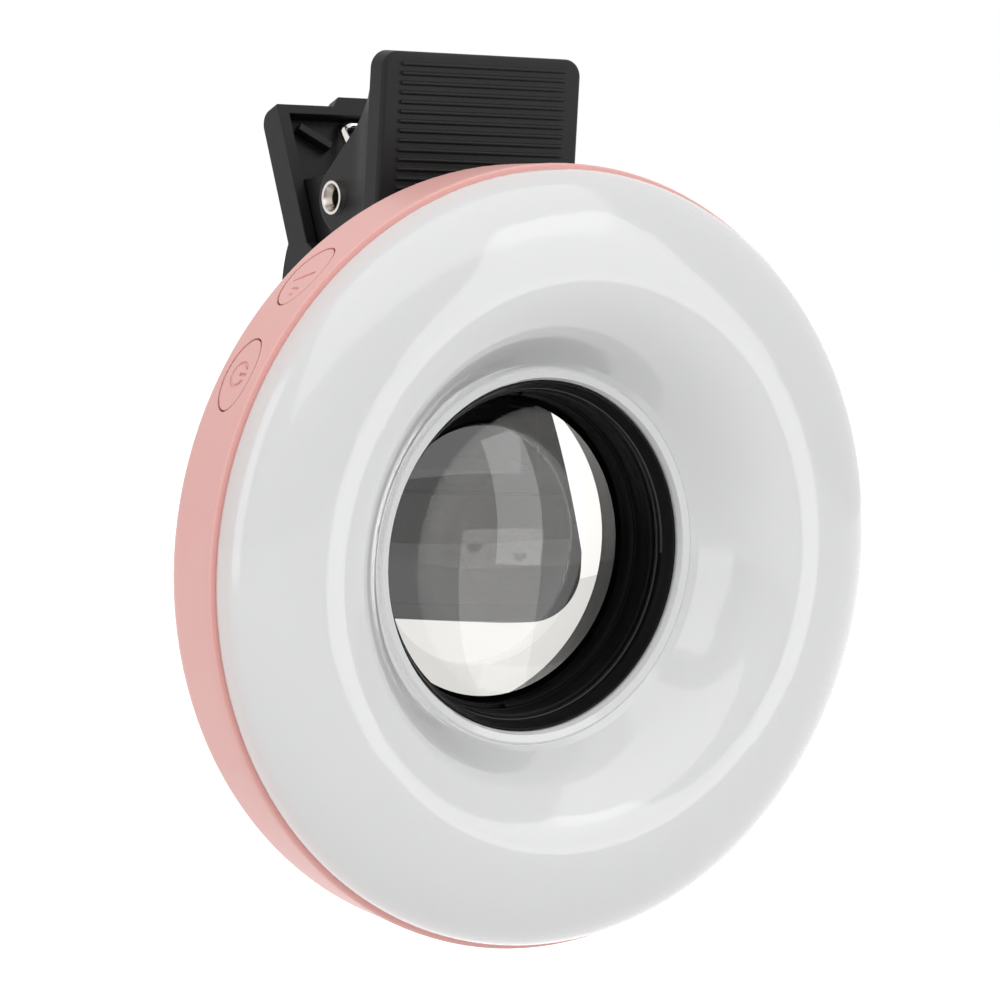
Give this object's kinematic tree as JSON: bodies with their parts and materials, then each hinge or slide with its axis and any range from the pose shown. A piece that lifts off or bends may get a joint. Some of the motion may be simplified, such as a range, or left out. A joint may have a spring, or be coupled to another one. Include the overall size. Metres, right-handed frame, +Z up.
{
  "type": "clip-on macro lens with ring light",
  "caption": "Clip-on macro lens for a phone inside a doughnut-shaped ring light, with a white diffuser, a pink rim with two flush buttons and a black spring clip.",
  "frame": {"origin": "on the lens axis, in the face of the front pad that touches the phone", "axes": "-Y along the lens axis out of the light's face, +Z up along the clip's grips, +X to the right seen from the light's face"},
  "size_m": [0.0868, 0.0499, 0.098],
  "materials": {
    "clip_plastic": "fine grain",
    "pad_rubber": "matte",
    "bright_steel": "nickel plated",
    "washer_plastic": "matte",
    "barrel_metal": "black anodised",
    "lens_glass": "polished",
    "screw_steel": "plated",
    "housing_plastic": "satin",
    "diffuser_plastic": "gloss",
    "board_laminate": "solder mask",
    "led_package": "resin",
    "chip_plastic": "matte",
    "battery_foil": "satin foil",
    "foam_tape": "matte",
    "lead_insulation": "satin",
    "socket_steel": "plated"
  },
  "bodies": {
    "clip_front": {"front_lever": "clip_plastic", "front_pad": "pad_rubber", "pivot_pin": "bright_steel", "torsion_spring": "bright_steel"},
    "clip_rear": {"rear_lever": "clip_plastic", "rear_pad": "pad_rubber"},
    "washer": {"thread_washer": "washer_plastic"},
    "light": {"lens_barrel": "barrel_metal", "lens_glass": "lens_glass", "lens_retainer": "barrel_metal", "barrel_screws": "screw_steel", "housing": "housing_plastic", "diffuser": "diffuser_plastic", "led_board": "board_laminate", "led_array": "led_package", "board_parts": "chip_plastic", "battery": "battery_foil", "battery_tape": "foam_tape", "battery_leads": "lead_insulation", "cover_screws": "screw_steel", "power_switch": "chip_plastic", "mode_switch": "chip_plastic", "usb_port": "socket_steel"},
    "power_key": {"power_button": "housing_plastic"},
    "mode_key": {"mode_button": "housing_plastic"}
  },
  "joints": [
    {"name": "clip_hinge", "type": "hinge", "parent": "clip_front", "child": "clip_rear", "pos_m": [0, 0.00605, 0.0378], "axis": [1, 0, 0], "range_deg": [0, 36], "stiffness_Nm_per_rad": 0.25, "springref_deg": -28.65, "deforming": ["torsion_spring"]},
    {"name": "light_unscrew_travel", "type": "slide", "parent": "clip_front", "child": "washer", "axis": [0, -1, 0], "range_m": [0, 0.003]},
    {"name": "light_unscrew_turn", "type": "hinge", "parent": "washer", "child": "light", "pos_m": [0, 0, 0], "axis": [0, -1, 0], "range_deg": [0, 1440]},
    {"name": "power_press", "type": "slide", "parent": "light", "child": "power_key", "axis": [0.8894, 0, -0.4571], "range_m": [0, 0.0003], "stiffness_N_per_m": 3000, "springref_m": -0.0001},
    {"name": "mode_press", "type": "slide", "parent": "light", "child": "mode_key", "axis": [0.7108, 0, -0.7034], "range_m": [0, 0.0003], "stiffness_N_per_m": 3000, "springref_m": -0.0001}
  ],
  "couplings": [
    {"joint": "light_unscrew_travel", "follows": "light_unscrew_turn", "m_per_rad": 0.00011937}
  ]
}
